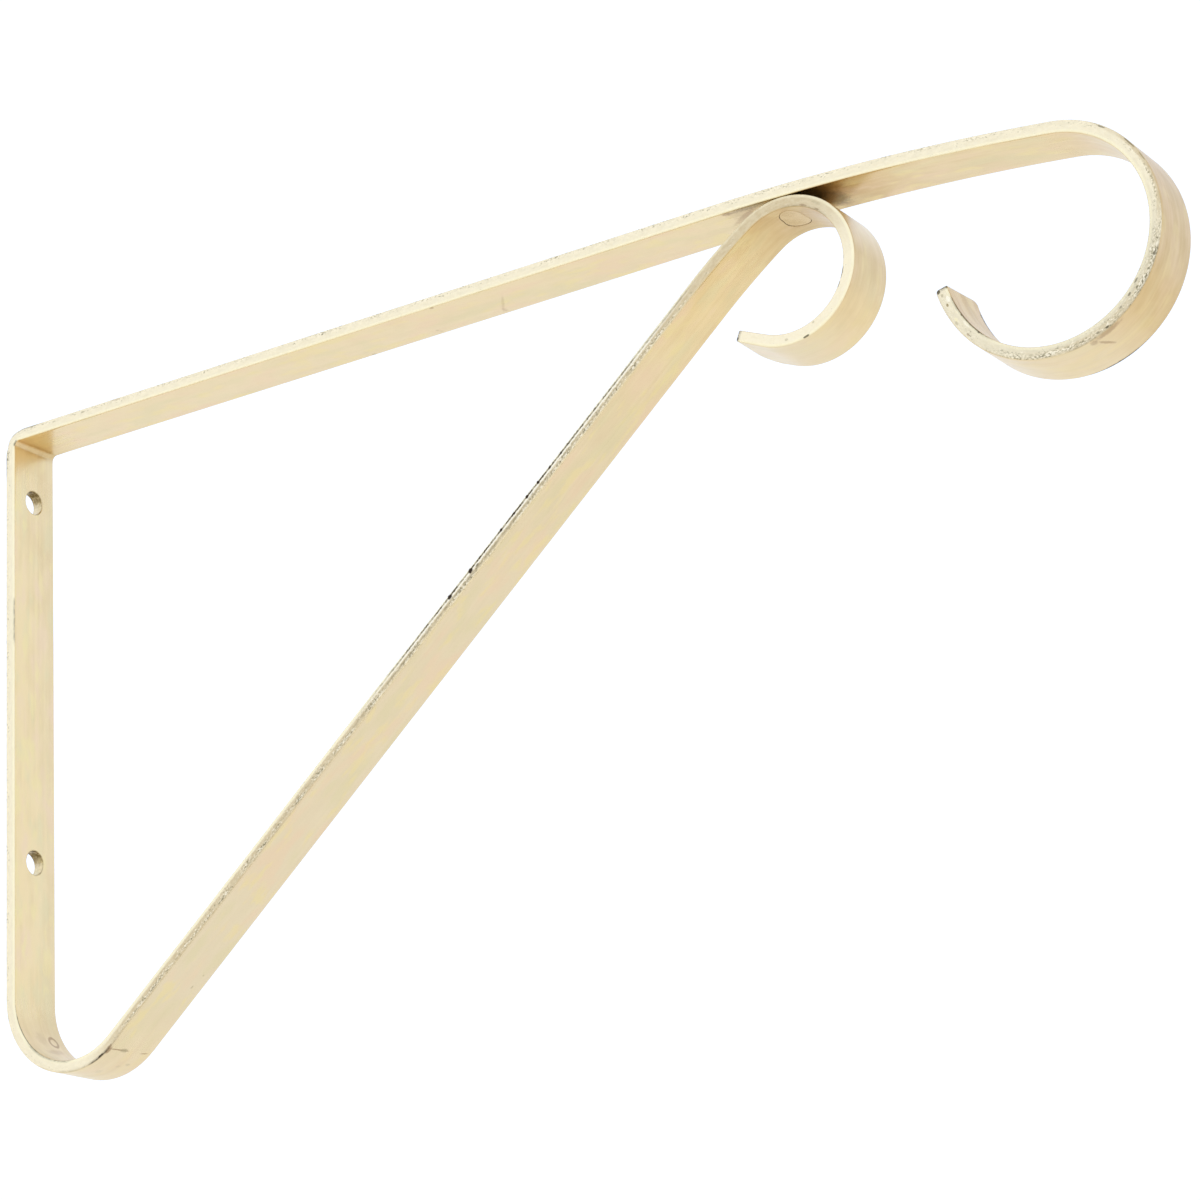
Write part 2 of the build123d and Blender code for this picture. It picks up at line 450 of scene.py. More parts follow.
# the section's outer side narrows and its inner side spreads in a bend
inner = np.sign(KAP) * D > 0
bend = np.clip(np.abs(KAP) * 12, 0, 1)
corner_w = bump01(S, START["corner"] + 0.6, START["corner"] + LENGTH["corner"] - 0.6, 2.6)
narrow = 0.05 + np.where(inner, -0.02, 0.10) * bend * (np.abs(D) / HT) + corner_w * np.where(D * 1.0 > 0, -0.05, 0.55) * (np.abs(D) / HT) ** 1.5
narrow = np.clip(narrow, 0.0, 1)
Y = Y * (1 - narrow / (W / 2))
# long, slight waviness of the sheared edges and of the rolled faces
near = (Y < 0)
wav = noise3(S, Y * 0.1, D, 0.11, 0.5, 3.1) * 0.030 + noise3(S, Y * 0.1, D, 0.45, 1.1, 8.4) * 0.022
Y = Y - np.sign(Y) * side * (0.035 + wav) * wall_free
face_n = noise3(S, Y, D * 0.2, 0.055, 0.16, 17.0) * 0.016 + noise3(S, Y, D * 0.2, 0.21, 0.30, 29.0) * 0.006
D = D - np.sign(D) * (0.022 + face_n) * (1 - side) * wall_free * (np.abs(D) > HT - 0.3)

# the cropped ends: the tip is a little out of square, and the corners are rounded in plan
TIP_SKEW, TIP_R, SCROLL_R, NEAR_R, TIP_ROLL, END_ROLL = 1.15, 2.0, 6.0, 0.25, 0.9, 0.6


def corner_back(y, side_, r):
    """How far the end stands back at y for a rounded corner on that side."""
    q = np.clip(side_ * y - (W / 2 - r), 0, r)
    return r - np.sqrt(np.maximum(r * r - q * q, 0))


def end_warp(q, back, zone):
    return q + back * np.clip(1 - q / zone, 0, 1) ** 1.6


SZ = S.copy()
q0, q1 = S.copy(), L_ALL - S


def roll_back(d, r):
    """How far the end stands back at d where the shear has rolled it over towards +d."""
    q = np.clip(d - (HT - r), 0, r)
    return r - np.sqrt(np.maximum(r * r - q * q, 0))


back0 = TIP_SKEW * (W / 2 - Y) / W + corner_back(Y, 1, TIP_R) + corner_back(Y, -1, NEAR_R) + roll_back(-D, TIP_ROLL)
back1 = corner_back(Y, 1, SCROLL_R) + corner_back(Y, -1, NEAR_R) + roll_back(D, END_ROLL)
D = np.where(D > 0, D * (1 - 0.20 * np.clip(1 - q1 / 9.0, 0, 1) ** 1.3 * np.clip(0.35 - 1.3 * Y / W, 0, 1)), D)
S = np.where(q0 < 16, end_warp(q0, back0, 14.0), S)
S = np.where(q1 < 16, L_ALL - end_warp(q1, back1, 14.0), S)

CO = place(S, Y, D)
me = bpy.data.meshes.new("strap_bar")
me.from_pydata(CO.tolist(), [], quads)
me.validate()


def attr(name, values):
    a = me.attributes.new(name, "FLOAT", "POINT")
    a.data.foreach_set("value", np.asarray(values, np.float32))


vec = me.attributes.new("strapco", "FLOAT_VECTOR", "POINT")
vec.data.foreach_set("vector", np.stack([S, Y, D], -1).astype(np.float32).ravel())
attr("edge", E)
attr("wall", WALL)


def along(pairs):
    """A value that varies along the run: (S, value) pairs, straight between them."""
    p = np.array(pairs, float)
    return np.interp(SZ, p[:, 0], p[:, 1])


def band(lo, hi, soft):
    return bump01(SZ, lo, hi, soft)


# how grainy the sheared edge is: by the side-A arris, in the middle, by the side-B arris
gA = along([(0, .45), (20, .5), (30, .9), (75, 1), (95, .55), (115, .55), (130, .60), (424, .66), (430, .85), (446, .55),
            (454, .50), (590, .50), (598, .55), (622, .35), (636, .6), (648, .9), (868, .9), (884, .30), (905, .22), (926, .22), (932, .12), (980, .08)])
gM = along([(0, .4), (30, .6), (75, .8), (90, .4), (120, .22), (424, .16), (434, .35), (446, .14), (640, .1),
            (655, .60), (760, .75), (868, .6), (884, .28), (894, .42), (918, .45), (930, .12), (980, .05)])
gB = along([(0, .15), (30, .25), (50, .42), (72, .40), (88, .15), (120, .1), (640, .05), (760, .35), (868, .3), (884, .22), (905, .15),
            (920, .05), (980, .05)])
tD = D / HT
wA, wB = np.clip((-tD + 0.05) / 0.45, 0, 1), np.clip((tD - 0.05) / 0.5, 0, 1)
attr("grain", np.clip(gM * (1 - wA - wB) + gA * wA + gB * wB, 0, 1))
# how bright the sheared edge is: partly the edge's own paler finish and partly painted reflection of the white surround
paleS = along([(0, .80), (25, .66), (60, .50), (75, .55), (92, .9), (640, .92), (655, .88), (740, .95), (765, .92), (790, .84), (808, .84),
               (820, .9), (842, .9), (854, .84), (880, .70), (893, .5), (903, .4), (912, .5), (926, .84), (940, 1), (980, 1)])
attr("pale", np.clip(paleS, 0, 1))
# the stretches where the sheared edge has the faces' own tan, how far over towards side B it reaches, where a painted
# highlight brightens it at the side-A arris, and the black and the brown lines of the brace's edge, the black one a
# painted reflection of something dark
attr("tan", along([(0, 0), (28, 0), (36, .40), (46, .70), (56, .60), (66, .30), (78, .20), (84, .90), (98, .95), (104, .45), (113, 0), (630, 0),
                   (640, .8), (652, 1), (913, 1), (921, .85), (927, .6), (933, .15), (940, 0), (980, 0)]))
attr("tancut", along([(0, 0), (60, .15), (76, .0), (84, -.70), (112, -.90), (630, .10), (660, .50), (735, .50), (760, .10), (862, .05),
                      (874, .7), (884, 1.6), (920, 2.2), (980, 2.2)]))
attr("rimlit", along([(0, 0), (735, 0), (762, .8), (800, 1), (865, .8), (884, .25), (905, .15), (925, 0), (980, 0)]))
attr("blackline", along([(0, 0), (742, 0), (758, .45), (768, .85), (800, 1), (845, .85), (862, .60), (876, .35), (886, 0), (980, 0)]))
attr("brownline", along([(0, 0), (660, 0), (700, .15), (745, .5), (765, .75), (805, .85), (830, .65), (862, .35), (884, 0), (980, 0)]))
# dark lines along some arrises
near = np.where(Y < 0, 1.0, 0.40)
free = 1 - np.clip(WALL * 4, 0, 1)
on_edge = np.clip(E * 3, 0, 1) * free
lineA = np.exp(-((D + HT - 0.20) / 0.24) ** 2) * on_edge
lineB = np.exp(-((D - HT + 0.22) / 0.24) ** 2) * on_edge
dark = lineB * (0.42 * band(609, 623, 3) + 0.36 * band(5.5, 20, 3)
                + 0.40 * band(484, 494, 2) + 0.6 * band(436, 438, 1)) * near
dark += lineA * (0.16 * band(622, 641, 3) + 0.55 * band(631.5, 637, 1.5) + 0.18 * band(44, 72, 4) + 0.45 * band(428, 446, 3)
                 + 0.25 * band(912, 925, 2)) * near
dark += lineA * (Y > 0) * 0.7 * band(42, 54, 3)
dark += lineB * (Y > 0) * 0.75 * band(7, 24, 3)
at_rim = np.clip((np.maximum(np.abs(Y) - (W / 2 - 1.6), np.abs(D) - (HT - 0.5)) / 0.5), 0, 1)
dark += on_edge * (0.22 + 0.65 * at_rim) * np.clip(1 - SZ / 0.6, 0, 1)
dark += on_edge * (0.25 + 0.65 * at_rim) * np.clip(1 - (L_ALL - SZ) / 0.6, 0, 1)
# the bores are dull, most of all on the side towards the arm
bore = np.zeros(len(S))
for s_h in (S_HOLE_TOP, S_HOLE_LOW):
    here = (np.abs(SZ - s_h) < HOLE_R + 1) & (WALL > 0.1)
    up = (s_h - SZ) / HOLE_R
    bore += np.where(here, WALL * (np.clip(up * 1.1 + 0.15, 0, 1) + 0.45 * np.clip(-up * 2 - 1.1, 0, 1)), 0)
attr("bore", np.clip(bore, 0, 1))
attr("dark", np.clip(dark, 0, 1))
# plating a little duller where the strap was bent
attr("bent", np.clip(along([(0, .8), (16, 1), (116, 1), (126, 0), (418, 0), (430, .8), (434, 1), (439, 1), (444, .8), (456, 0),
                            (590, 0), (600, 1), (634, 1), (645, 0), (880, 0), (902, 1), (972, 1), (980, 1)]), 0, 1))
# lighter and darker stretches of the plating, on each side of the strap: partly the plating's own uneven tone and
# partly painted reflection and painted shade, which stay fixed on the surface
toneA = along([(0, .75), (22, .75), (34, .88), (46, .93), (58, .50), (70, .31), (82, .20), (94, .12), (110, .3), (140, .8),
               (500, .8), (592, .8), (620, .90), (645, .84), (650, .76), (840, .80), (866, .90), (888, .86), (896, .68),
               (902, .45), (912, .05), (922, .3), (940, .7), (980, .75)])
# toneB's drop and warmB's rise between S 158 and 198 are painted shade under the arm's joint with the scroll; toneB's
# dip at S 434-439 is painted shade in the inside of the corner
toneB = along([(0, .20), (7, .22), (15, .30), (40, .5), (90, .6), (125, .80), (154, .74), (166, .45), (173, .10), (177, .0), (186, .0), (194, .45), (200, .86), (212, .92),
               (424, .97), (430, .86), (433, .80), (434.5, .42), (438.5, .42), (440, .95), (444, .90), (450, .86), (468, .80), (504, .95), (580, 1.0), (594, .82),
               (600, .66), (612, .5), (626, .6), (880, .7), (905, .4), (920, .9), (927, 1.0), (938, .40), (949, .84), (960, 1.0), (974, .88), (980, .85)])
coolA = along([(0, 0), (30, .3), (46, .45), (58, .1), (94, .1), (120, .2), (600, .25), (622, .36), (640, .40), (660, .62), (790, .56),
               (835, .38), (865, .08), (880, 0), (904, .1), (912, .25), (980, .2)])
coolB = along([(0, .0), (20, 0), (200, .22), (424, .25), (432, 0), (445, 0), (590, .0), (606, .10), (920, .4), (930, .3), (942, 0), (952, .05),
               (964, .45), (980, .45)])
warmA = along([(0, .2), (40, .1), (50, .15), (60, .35), (85, .35), (110, .1), (600, 0), (860, .1), (876, .55), (900, .6), (908, .3),
               (980, .2)])
warmB = along([(0, .45), (20, .35), (40, 0), (158, .1), (170, .6), (186, .6), (198, 0), (424, 0), (432, .25), (434, .35), (439, .35), (445, .35), (456, .25), (504, .38), (590, .40),
               (602, .10), (930, 0), (938, .25), (950, .1), (960, 0), (980, 0)])
# painted light: side B lighter and less cool towards its near (-Y) edge, the brace's side A a touch darker there, and
# both sides warmer towards it
yn = np.clip(-Y / (W / 2), -1, 1)
lit_near = np.where(D > 0, along([(0, 0), (212, .10), (424, .06), (450, .16), (590, .20), (600, .10), (620, 0), (980, 0)]),
                    along([(0, 0), (640, .0), (760, -.03), (860, .0), (980, 0)]))
attr("tone", np.clip(np.where(D > 0, toneB, toneA) + lit_near * yn, 0, 1))
attr("cool", np.clip(np.where(D > 0, coolB, coolA) - 0.12 * yn * (lit_near > 0.02), 0, 1))
attr("warm", np.clip(np.where(D > 0, warmB, warmA) * (1 + 0.5 * yn), 0, 1))
strap = bpy.data.objects.new("strap_bar", me)
bpy.context.scene.collection.objects.link(strap)
bm = bmesh.new()
bm.from_mesh(me)
bmesh.ops.recalc_face_normals(bm, faces=bm.faces)
open_edges = sum(1 for e in bm.edges if len(e.link_faces) != 2)
print("strap open edges:", open_edges)
bm.to_mesh(me)
bm.free()
for p in me.polygons:
    p.use_smooth = True

# --------------------------------------------------------------------------
# Rivet: flush end, shank and head, turned about its own axis
# --------------------------------------------------------------------------
JOINT_TOP = SCROLL_RI + T + JOINT_GAP + T
NR = 72
th = np.linspace(0, 2 * math.pi, NR, endpoint=False)
rv, rq = [], []
r_attr = []


def axis_point(u, y, h):
    return ((SC[0] + u * math.cos(TILT) + h * math.sin(TILT)) * MM, y * MM,
            (SC[1] - u * math.sin(TILT) + h * math.cos(TILT)) * MM)


def rring(us, ys, hs, tag):
    base = len(rv)
    for u, y, h in zip(us, ys, hs):
        rv.append(axis_point(u, y, h)); r_attr.append(tag)
    return list(range(base, base + len(us)))


def rloop(a, b):
    for k in range(NR):
        rq.append((a[k], a[(k + 1) % NR], b[(k + 1) % NR], b[k]))


def pad_ring(f, inset, depth, tag):
    r = (PAD_R(th) - inset) * f
    u = PAD_C[0] * (1 if f > 0 else 1) + r * np.cos(th)
    y = PAD_C[1] + r * np.sin(th)
    h = np.sqrt((SCROLL_RI + depth) ** 2 - u ** 2)
    return rring(u, y, h, tag)


first = pad_ring(0.12, 0.05, 0.03, 0.0)
centre_pad = len(rv)
rv.append(axis_point(PAD_C[0], PAD_C[1], math.sqrt((SCROLL_RI + 0.03) ** 2 - PAD_C[0] ** 2))); r_attr.append(0.0)
for k in range(NR):
    rq.append((centre_pad, first[(k + 1) % NR], first[k]))
prev = first
for f in (0.3, 0.5, 0.7, 0.85, 0.95):
    cur = pad_ring(f, 0.05, 0.03, 0.0); rloop(prev, cur); prev = cur
for k in range(1, 4):
    a = math.pi / 2 * k / 3
    cur = pad_ring(1.0, 0.05 + 0.12 * (1 - math.sin(a)), 0.03 + 0.12 * (1 - math.cos(a)), 0.5); rloop(prev, cur); prev = cur
cur = pad_ring(1.0, 0.05, PAD_DEPTH, 1.0); rloop(prev, cur); prev = cur
# in under the end to the shank, which runs up to the head
for f in (0.5, 0.0):
    u = (PAD_C[0] + PAD_R(th) * np.cos(th)) * f + RIVET_R * np.cos(th) * (1 - f)
    y = (PAD_C[1] + PAD_R(th) * np.sin(th)) * f + RIVET_R * np.sin(th) * (1 - f)
    cur = rring(u, y, np.sqrt((SCROLL_RI + PAD_DEPTH) ** 2 - u ** 2), 1.0); rloop(prev, cur); prev = cur
for h in np.linspace(SCROLL_RI + 1.6, JOINT_TOP + 0.0, 7):
    cur = rring(RIVET_R * np.cos(th), RIVET_R * np.sin(th), np.full(NR, h), 1.0); rloop(prev, cur); prev = cur
HR = HEAD_R - 0.02
dome_r = (HEAD_R ** 2 + HEAD_H ** 2) / (2 * HEAD_H)
for r, h in [(3.2, 0.0), (HR - 0.12, 0.0), (HR - 0.03, 0.03), (HR, 0.10)]:
    cur = rring(r * np.cos(th), r * np.sin(th), np.full(NR, JOINT_TOP + h), 0.2); rloop(prev, cur); prev = cur
for k in range(1, 13):
    r = HR * (1 - k / 13)
    h = max(0.10, math.sqrt(dome_r ** 2 - r ** 2) - (dome_r - HEAD_H)) - 0.02
    r_j = r * (1 + 0.004 * np.sin(3 * th + 1.0) + 0.003 * np.sin(7 * th))
    cur = rring(r_j * np.cos(th), r_j * np.sin(th), np.full(NR, JOINT_TOP + h), 0.2); rloop(prev, cur); prev = cur
apex = len(rv)
rv.append(axis_point(0, 0, JOINT_TOP + HEAD_H - 0.02)); r_attr.append(0.2)
for k in range(NR):
    rq.append((prev[k], prev[(k + 1) % NR], apex))
rme = bpy.data.meshes.new("rivet_body")
rme.from_pydata(rv, [], rq)
rme.validate()
ra = rme.attributes.new("rim", "FLOAT", "POINT")
ra.data.foreach_set("value", np.asarray(r_attr, np.float32))
rivet = bpy.data.objects.new("rivet_body", rme)
bpy.context.scene.collection.objects.link(rivet)
bm = bmesh.new()
bm.from_mesh(rme)
bmesh.ops.recalc_face_normals(bm, faces=bm.faces)
print("rivet open edges:", sum(1 for e in bm.edges if len(e.link_faces) != 2))
bm.to_mesh(rme)
bm.free()
for p in rme.polygons:
    p.use_smooth = True


# --------------------------------------------------------------------------
# Materials
# --------------------------------------------------------------------------
class Nodes:
    def __init__(self, name):
        self.mat = bpy.data.materials.new(name)
        self.mat.use_nodes = True
        self.t = self.mat.node_tree
        self.t.nodes.clear()
        self.out = self.n("ShaderNodeOutputMaterial")
        self.b = self.n("ShaderNodeBsdfPrincipled")
        self.link(self.b.outputs["BSDF"], self.out.inputs["Surface"])

    def n(self, kind, **kw):
        node = self.t.nodes.new(kind)
        for k, v in kw.items():
            setattr(node, k, v)
        return node

    def link(self, a, b):
        self.t.links.new(a, b)

    def put(self, sock, value):
        if hasattr(value, "is_output") or isinstance(value, bpy.types.NodeSocket):
            self.link(value, sock)
        else:
            sock.default_value = value

    def attr(self, name, out="Fac"):
        return self.n("ShaderNodeAttribute", attribute_name=name).outputs[out]

    def math(self, op, a, b=None, clamp=False):
        m = self.n("ShaderNodeMath", operation=op, use_clamp=clamp)
        self.put(m.inputs[0], a)
        if b is not None:
            self.put(m.inputs[1], b)
        return m.outputs[0]

    def mix(self, fac, a, b):
        m = self.n("ShaderNodeMix", data_type="RGBA")
        self.put(m.inputs["Factor"], fac)
        self.put(m.inputs[6], a if isinstance(a, bpy.types.NodeSocket) else (*a, 1))
        self.put(m.inputs[7], b if isinstance(b, bpy.types.NodeSocket) else (*b, 1))
        return m.outputs[2]

    def mixf(self, fac, a, b):
        m = self.n("ShaderNodeMix", data_type="FLOAT")
        self.put(m.inputs["Factor"], fac)
        self.put(m.inputs[2], a)
        self.put(m.inputs[3], b)
        return m.outputs[0]

    def scaled(self, vec, s):
        m = self.n("ShaderNodeMapping")
        self.link(vec, m.inputs["Vector"])
        m.inputs["Scale"].default_value = s
        return m.outputs["Vector"]

    def noise(self, vec, scale, detail=3, rough=0.5, distort=0.0):
        m = self.n("ShaderNodeTexNoise")
        self.link(vec, m.inputs["Vector"])
        m.inputs["Scale"].default_value = scale
        m.inputs["Detail"].default_value = detail
        m.inputs["Roughness"].default_value = rough
        m.inputs["Distortion"].default_value = distort
        return m.outputs["Fac"]

    def voronoi(self, vec, scale, feature="F1", rnd=1.0):
        m = self.n("ShaderNodeTexVoronoi", feature=feature)
        self.link(vec, m.inputs["Vector"])
        m.inputs["Scale"].default_value = scale
        m.inputs["Randomness"].default_value = rnd
        return m.outputs["Distance"]

    def ramp(self, fac, stops):
        m = self.n("ShaderNodeMapRange", interpolation_type="SMOOTHSTEP")
        self.put(m.inputs["Value"], fac)
        m.inputs["From Min"].default_value, m.inputs["From Max"].default_value = stops[0], stops[1]
        m.inputs["To Min"].default_value, m.inputs["To Max"].default_value = stops[2], stops[3]
        return m.outputs["Result"]

    def bump(self, height, strength, distance, normal=None):
        m = self.n("ShaderNodeBump")
        m.inputs["Strength"].default_value = strength
        m.inputs["Distance"].default_value = distance
        self.link(height, m.inputs["Height"])
        if normal is not None:
            self.link(normal, m.inputs["Normal"])
        return m.outputs["Normal"]


FACE_LO, FACE_HI, FACE_COOL = (0.560, 0.395, 0.175), (0.835, 0.680, 0.408), (0.790, 0.712, 0.545)
EDGE_LO, EDGE_HI = (0.545, 0.480, 0.325), (0.900, 0.795, 0.555)
TAN_LO, TAN_HI, TAN_LIT = (0.635, 0.510, 0.300), (0.690, 0.570, 0.352), (0.800, 0.665, 0.404)
# the near-black, rust-brown and grit colours serve real marks, and in places they also paint shade; the near-black also
# paints the dark reflection along the brace's edge
OLIVE, GRIT_AND_SHADE, BRIGHT = (0.440, 0.378, 0.225), (0.150, 0.125, 0.070), (0.960, 0.880, 0.680)
SOOT_AND_SHADE, RUST_AND_SHADE = (0.045, 0.030, 0.018), (0.300, 0.170, 0.085)

# small marks on the broad faces, some of them painted shade: S, Y, side, half length along S, half width along Y, turn
# (deg), strength, colour
MARKS = [
    (637.75, -4.10, -1, 0.22, 3.90, -3, 0.70, RUST_AND_SHADE), (637.85, -2.30, -1, 0.65, 1.30, 0, 0.75, OLIVE),
    (638.10, 5.20, -1, 0.20, 1.45, -10, 0.60, RUST_AND_SHADE), (636.9, -7.3, -1, 1.3, 0.55, 0, 0.70, RUST_AND_SHADE),
    (632.3, 1.4, -1, 0.6, 0.8, 0, 0.22, OLIVE), (628.5, -1.5, -1, 1.0, 1.2, 20, 0.18, OLIVE), (624.0, -1.0, -1, 0.5, 1.6, 0, 0.12, OLIVE),
    (633.6, 3.6, -1, 0.5, 0.8, 0, 0.35, OLIVE), (660.5, 3.9, -1, 0.55, 0.35, 0, 0.55, OLIVE),
    (664.6, 4.64, -1, 0.35, 0.30, 0, 0.50, OLIVE),
    # (49.3, -3.4) and (47.6, -6.4) paint the shade of a shallow dent in the hook's outer face
    (49.3, -3.4, -1, 0.45, 2.8, -24, 0.50, RUST_AND_SHADE), (51.5, -6.9, -1, 3.8, 0.90, 0, 0.50, RUST_AND_SHADE), (47.6, -6.4, -1, 0.9, 1.2, 0, 0.40, RUST_AND_SHADE),
    (279.3, 2.0, 1, 0.42, 5.2, -33, 0.22, RUST_AND_SHADE), (281.2, 5.6, 1, 0.7, 1.2, 0, 0.22, RUST_AND_SHADE),
    (323.9, 7.2, 1, 0.7, 0.50, 0, 0.55, OLIVE), (301.6, 6.3, 1, 0.5, 0.9, 0, 0.22, OLIVE), (302.1, 5.2, 1, 0.40, 0.45, 0, 0.45, OLIVE),
    (294.7, -7.4, 1, 0.6, 0.45, 0, 0.60, RUST_AND_SHADE), (196.0, -6.2, 1, 1.4, 0.55, 0, 0.60, RUST_AND_SHADE),
    # this line and the next are painted shade and painted shadow on the arm's side B, under and beside its joint with
    # the scroll
    (207.3, -7.0, 1, 1.3, 0.95, 0, 0.50, RUST_AND_SHADE), (204.5, -3.0, 1, 5.5, 1.0, 34, 0.42, RUST_AND_SHADE),
    (181.5, 0.8, 1, 3.6, 5.2, 0, 0.55, SOOT_AND_SHADE), (177.0, -2.5, 1, 2.6, 4.0, 0, 0.25, RUST_AND_SHADE), (201.5, -7.2, 1, 5.5, 1.5, 0, 0.50, GRIT_AND_SHADE), (203.0, -4.9, 1, 5.0, 3.2, 0, 0.28, RUST_AND_SHADE),
    (48.0, 7.55, -1, 7.0, 0.50, 0, 1.00, GRIT_AND_SHADE), (604.0, -7.74, 1, 9.0, 0.24, 0, 0.90, GRIT_AND_SHADE), (7.5, 7.15, 1, 4.6, 0.50, 0, 0.80, GRIT_AND_SHADE), (4.7, 6.95, 1, 0.9, 0.55, 0, 0.85, GRIT_AND_SHADE), (6.8, 6.95, 1, 0.8, 0.45, 0, 0.80, GRIT_AND_SHADE),
    (8.8, 6.95, 1, 0.5, 0.45, 0, 0.70, GRIT_AND_SHADE), (11.0, 6.95, 1, 0.6, 0.50, 0, 0.80, GRIT_AND_SHADE), (15.5, 7.2, 1, 4.0, 0.45, 0, 0.45, OLIVE), (9.0, -7.5, 1, 5.0, 0.30, 0, 0.55, RUST_AND_SHADE),
    (609.5, 1.2, 1, 1.2, 4.0, 12, 0.22, RUST_AND_SHADE), (604.2, -1.0, 1, 2.5, 2.2, 0, 0.16, RUST_AND_SHADE),
]
# and on the near sheared edge: S, D, half length, half width, strength, colour
EDGE_MARKS = [
    (943.3, -1.36, 1.50, 0.20, 0.80, GRIT_AND_SHADE), (946.6, -1.32, 0.80, 0.18, 0.75, GRIT_AND_SHADE), (939.3, -1.35, 0.5, 0.18, 0.4, OLIVE),
    (961.2, 1.25, 0.80, 0.28, 0.90, GRIT_AND_SHADE), (966.3, 0.10, 0.42, 0.30, 0.45, OLIVE), (958.2, -0.9, 0.35, 0.30, 0.45, OLIVE),
    (634.6, -1.30, 0.9, 0.30, 0.90, SOOT_AND_SHADE), (637.6, -1.25, 1.1, 0.40, 0.60, RUST_AND_SHADE), (783.9, 0.72, 0.75, 0.55, 1.0, SOOT_AND_SHADE), (794.4, 0.10, 0.60, 0.24, 0.75, GRIT_AND_SHADE),
    (792.2, 0.66, 0.75, 0.60, 1.0, SOOT_AND_SHADE), (52.0, -1.05, 0.50, 0.25, 0.95, GRIT_AND_SHADE), (49.6, -0.75, 0.35, 0.25, 0.60, GRIT_AND_SHADE),
    (71.0, -0.9, 0.55, 0.30, 0.75, GRIT_AND_SHADE), (60.5, 0.45, 0.55, 0.28, 0.70, GRIT_AND_SHADE), (64.0, 0.85, 0.7, 0.25, 0.65, GRIT_AND_SHADE),
    (57.0, 0.1, 0.4, 0.25, 0.55, GRIT_AND_SHADE), (15.5, -0.68, 0.45, 0.28, 0.40, RUST_AND_SHADE), (33.0, -0.4, 0.5, 0.25, 0.45, OLIVE),
    (4.7, 0.60, 0.80, 0.50, 0.80, BRIGHT), (10.3, -0.30, 0.55, 0.32, 0.50, (0.930, 0.830, 0.470)), (5.9, -0.17, 0.40, 0.28, 0.85, (0.330, 0.250, 0.110)),
    (3.0, -0.36, 0.42, 0.32, 0.60, OLIVE), (11.2, -0.75, 0.55, 0.30, 0.50, OLIVE), (13.2, 0.75, 1.2, 0.30, 0.50, BRIGHT),
    (8.2, 1.47, 3.6, 0.13, 0.80, GRIT_AND_SHADE), (15.0, 1.38, 4.6, 0.13, 0.80, GRIT_AND_SHADE), (17.4, 1.36, 0.45, 0.30, 0.85, GRIT_AND_SHADE),
    (10.4, 1.42, 0.35, 0.26, 0.80, GRIT_AND_SHADE),
    (1.55, 1.38, 0.40, 0.30, 0.75, GRIT_AND_SHADE), (1.80, -0.85, 0.45, 0.45, 0.90, GRIT_AND_SHADE), (1.35, 0.3, 0.22, 1.2, 0.60, OLIVE),
    (980.1, 0.65, 0.35, 0.45, 0.85, GRIT_AND_SHADE),
    (399.0, -1.1, 1.1, 0.25, 0.30, RUST_AND_SHADE), (917.5, -1.1, 1.0, 0.22, 0.50, RUST_AND_SHADE),
    # the seven near-black marks at D 0.84, from S 804.9 to 829.1, are knots in the brace's black line, painted
    # reflection like it
    (829.1, 0.84, 0.45, 0.36, 0.9, SOOT_AND_SHADE), (824.6, 0.84, 0.45, 0.36, 0.9, SOOT_AND_SHADE), (819.9, 0.84, 0.50, 0.40, 1.0, SOOT_AND_SHADE),
    (815.4, 0.84, 0.50, 0.42, 1.0, SOOT_AND_SHADE), (812.6, 0.84, 0.35, 0.32, 0.9, SOOT_AND_SHADE), (810.2, 0.84, 0.40, 0.36, 1.0, SOOT_AND_SHADE),
    (804.9, 0.84, 0.50, 0.38, 1.0, SOOT_AND_SHADE), (410.7, -0.62, 0.50, 0.24, 0.50, OLIVE), (413.7, -0.60, 0.40, 0.20, 0.40, OLIVE),
    (421.2, -0.55, 0.50, 0.24, 0.45, OLIVE), (425.4, -0.80, 0.45, 0.24, 0.50, OLIVE), (429.4, -1.05, 0.50, 0.26, 0.60, OLIVE),
    (107.5, -1.15, 1.0, 0.18, 0.70, GRIT_AND_SHADE), (99.3, -1.40, 1.9, 0.22, 0.75, GRIT_AND_SHADE), (94.5, -1.42, 1.2, 0.16, 0.55, GRIT_AND_SHADE),
    (922.0, -1.1, 0.7, 0.22, 0.50, RUST_AND_SHADE), (921.0, 0.2, 1.6, 0.30, 0.35, OLIVE),
]


